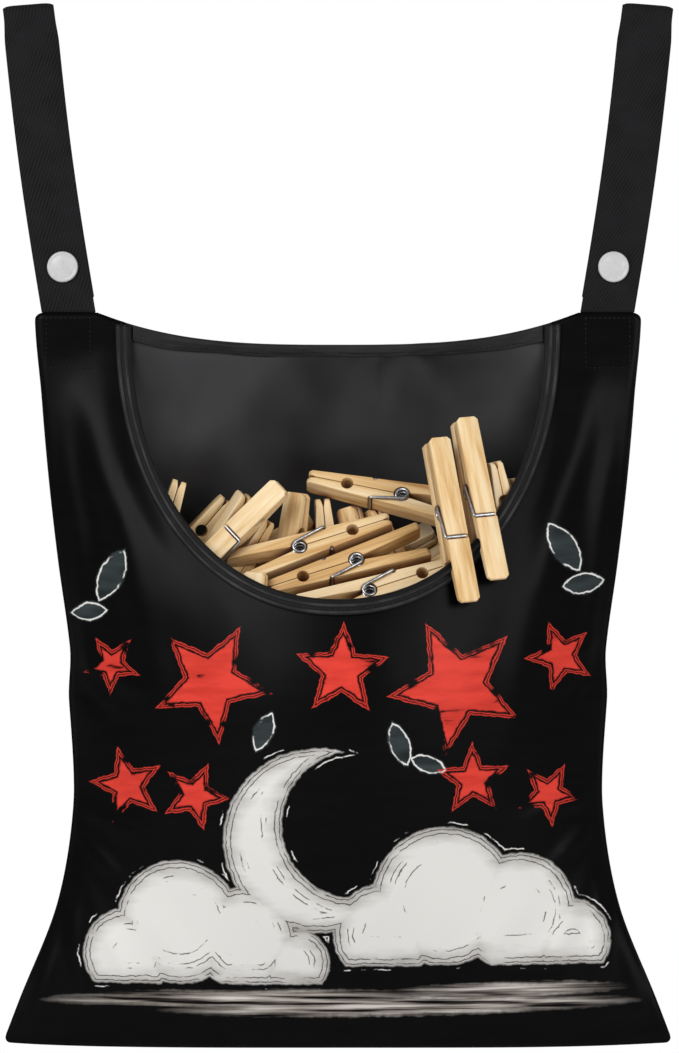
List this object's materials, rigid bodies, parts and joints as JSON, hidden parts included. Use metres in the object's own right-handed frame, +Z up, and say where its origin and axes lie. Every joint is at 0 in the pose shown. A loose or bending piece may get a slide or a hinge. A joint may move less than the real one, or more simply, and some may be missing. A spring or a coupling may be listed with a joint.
{
  "type": "peg bag",
  "caption": "Cloth peg bag with a round front mouth, hung by webbing straps that fold over a line and close with press studs, filled with wooden spring pegs.",
  "frame": {"origin": "on the hanging line, midway between the straps' folds", "axes": "+Z up, -Y the front with the mouth, +X the bag's right as seen from the front"},
  "size_m": [0.3368, 0.1039, 0.5213],
  "materials": {
    "black_cloth": "printed polyester, soft sheen",
    "binding_tape": "woven tape",
    "webbing": "ribbed webbing",
    "thread": "glossy thread",
    "stud_plastic": "satin",
    "peg_wood": "bare birch",
    "spring_steel": "zinc-plated wire"
  },
  "bodies": {
    "strap_set": {"left_strap": "webbing", "left_front_cap": "stud_plastic", "left_socket": "stud_plastic", "right_strap": "webbing", "right_front_cap": "stud_plastic", "right_socket": "stud_plastic"},
    "left_closure": {"left_flap": "webbing", "left_stud": "stud_plastic", "left_back_cap": "stud_plastic"},
    "right_closure": {"right_flap": "webbing", "right_stud": "stud_plastic", "right_back_cap": "stud_plastic"},
    "sewn_bag": {"front_panel": "black_cloth", "back_panel": "black_cloth", "mouth_binding": "binding_tape", "top_hem": "black_cloth", "left_strap_tail": "webbing", "right_strap_tail": "webbing", "left_box_stitch": "thread", "right_box_stitch": "thread", "lower_pegs": "peg_wood", "heap_peg_1_front_lever": "peg_wood", "heap_peg_1_back_lever": "peg_wood", "heap_peg_1_spring": "spring_steel", "heap_peg_2_front_lever": "peg_wood", "heap_peg_2_back_lever": "peg_wood", "heap_peg_2_spring": "spring_steel", "heap_peg_3_front_lever": "peg_wood", "heap_peg_3_back_lever": "peg_wood", "heap_peg_3_spring": "spring_steel", "heap_peg_4_front_lever": "peg_wood", "heap_peg_4_back_lever": "peg_wood", "heap_peg_4_spring": "spring_steel", "rim_peg_1_back_lever": "peg_wood", "rim_peg_1_spring": "spring_steel", "rim_peg_2_back_lever": "peg_wood", "rim_peg_2_spring": "spring_steel"},
    "rim_lever_1": {"rim_peg_1_front_lever": "peg_wood"},
    "rim_lever_2": {"rim_peg_2_front_lever": "peg_wood"}
  },
  "joints": [
    {"name": "left_flap_hinge", "type": "hinge", "parent": "strap_set", "child": "left_closure", "pos_m": [-0.15503, 0, 0.00396], "axis": [0.9912, 0, 0.1327], "range_deg": [0, 170]},
    {"name": "right_flap_hinge", "type": "hinge", "parent": "strap_set", "child": "right_closure", "pos_m": [0.15503, 0, 0.00396], "axis": [0.9912, 0, -0.1327], "range_deg": [0, 170]},
    {"name": "bag_swing", "type": "hinge", "parent": "strap_set", "child": "sewn_bag", "pos_m": [0, -0.0032, -0.1475], "axis": [1, 0, 0], "range_deg": [-90, 90]},
    {"name": "rim_peg_1_squeeze", "type": "hinge", "parent": "sewn_bag", "child": "rim_lever_1", "pos_m": [0.0545, -0.04086, -0.24815], "axis": [-0.9462, -0.3085, -0.0976], "range_deg": [0, 6], "stiffness_Nm_per_rad": 0.05, "springref_deg": -17.19, "deforming": ["rim_peg_1_spring"]},
    {"name": "rim_peg_2_squeeze", "type": "hinge", "parent": "sewn_bag", "child": "rim_lever_2", "pos_m": [0.06842, -0.03358, -0.23785], "axis": [-0.9402, -0.328, -0.0914], "range_deg": [0, 3], "stiffness_Nm_per_rad": 0.05, "springref_deg": -17.19, "deforming": ["rim_peg_2_spring"]}
  ]
}
